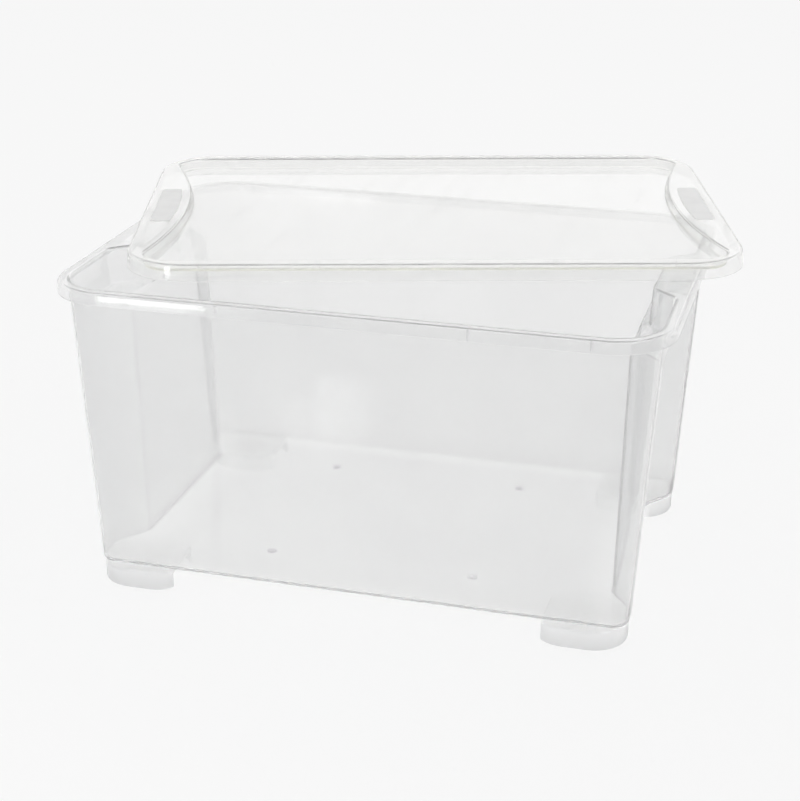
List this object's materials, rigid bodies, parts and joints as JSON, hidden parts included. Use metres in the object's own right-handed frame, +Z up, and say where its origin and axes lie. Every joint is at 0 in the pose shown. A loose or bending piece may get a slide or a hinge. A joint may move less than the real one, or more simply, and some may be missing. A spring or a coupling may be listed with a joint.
{
  "type": "rolling storage box",
  "caption": "Clear plastic storage box with leaning walls, a hand hold in each end, a turned-down rim and round corner housings over its wheels, with a loose lid lying askew on the rim.",
  "frame": {"origin": "middle of the flat floor inside the tub, 24.5 mm above the ground that the wheels stand on", "axes": "+Z up, +X along the box's length towards its right end, -Y towards the long side that faces the viewer"},
  "size_m": [0.6614, 0.5929, 0.3336],
  "materials": {
    "clear_plastic": "clear polypropylene, smooth and faintly cloudy",
    "grey_plastic": "pale grey, smooth matte",
    "wheel_plastic": "milky white, smooth",
    "pin_steel": "drawn wire"
  },
  "bodies": {
    "box": {"tub": "clear_plastic", "wheel_housing_front_left": "clear_plastic", "wheel_housing_front_right": "clear_plastic", "wheel_housing_rear_left": "clear_plastic", "wheel_housing_rear_right": "clear_plastic", "axle_pin_front_left": "pin_steel", "axle_pin_front_right": "pin_steel", "axle_pin_rear_left": "pin_steel", "axle_pin_rear_right": "pin_steel"},
    "wheel_front_left": {"wheel_front_left": "wheel_plastic"},
    "wheel_front_right": {"wheel_front_right": "wheel_plastic"},
    "wheel_rear_left": {"wheel_rear_left": "wheel_plastic"},
    "wheel_rear_right": {"wheel_rear_right": "wheel_plastic"},
    "lid": {"lid": "clear_plastic", "lid_grip_pad_left": "grey_plastic", "lid_grip_pad_right": "grey_plastic"}
  },
  "joints": [
    {"name": "wheel_front_left_spin", "type": "hinge", "parent": "box", "child": "wheel_front_left", "pos_m": [-0.2197, -0.1486, -0.0155], "axis": [0, 1, 0], "continuous": true},
    {"name": "wheel_front_right_spin", "type": "hinge", "parent": "box", "child": "wheel_front_right", "pos_m": [0.2197, -0.1486, -0.0155], "axis": [0, 1, 0], "continuous": true},
    {"name": "wheel_rear_left_spin", "type": "hinge", "parent": "box", "child": "wheel_rear_left", "pos_m": [-0.2197, 0.1486, -0.0155], "axis": [0, 1, 0], "continuous": true},
    {"name": "wheel_rear_right_spin", "type": "hinge", "parent": "box", "child": "wheel_rear_right", "pos_m": [0.2197, 0.1486, -0.0155], "axis": [0, 1, 0], "continuous": true},
    {"name": "lid_lift", "type": "slide", "parent": "box", "child": "lid", "axis": [0, 0, 1], "range_m": [0, 0.15]}
  ]
}
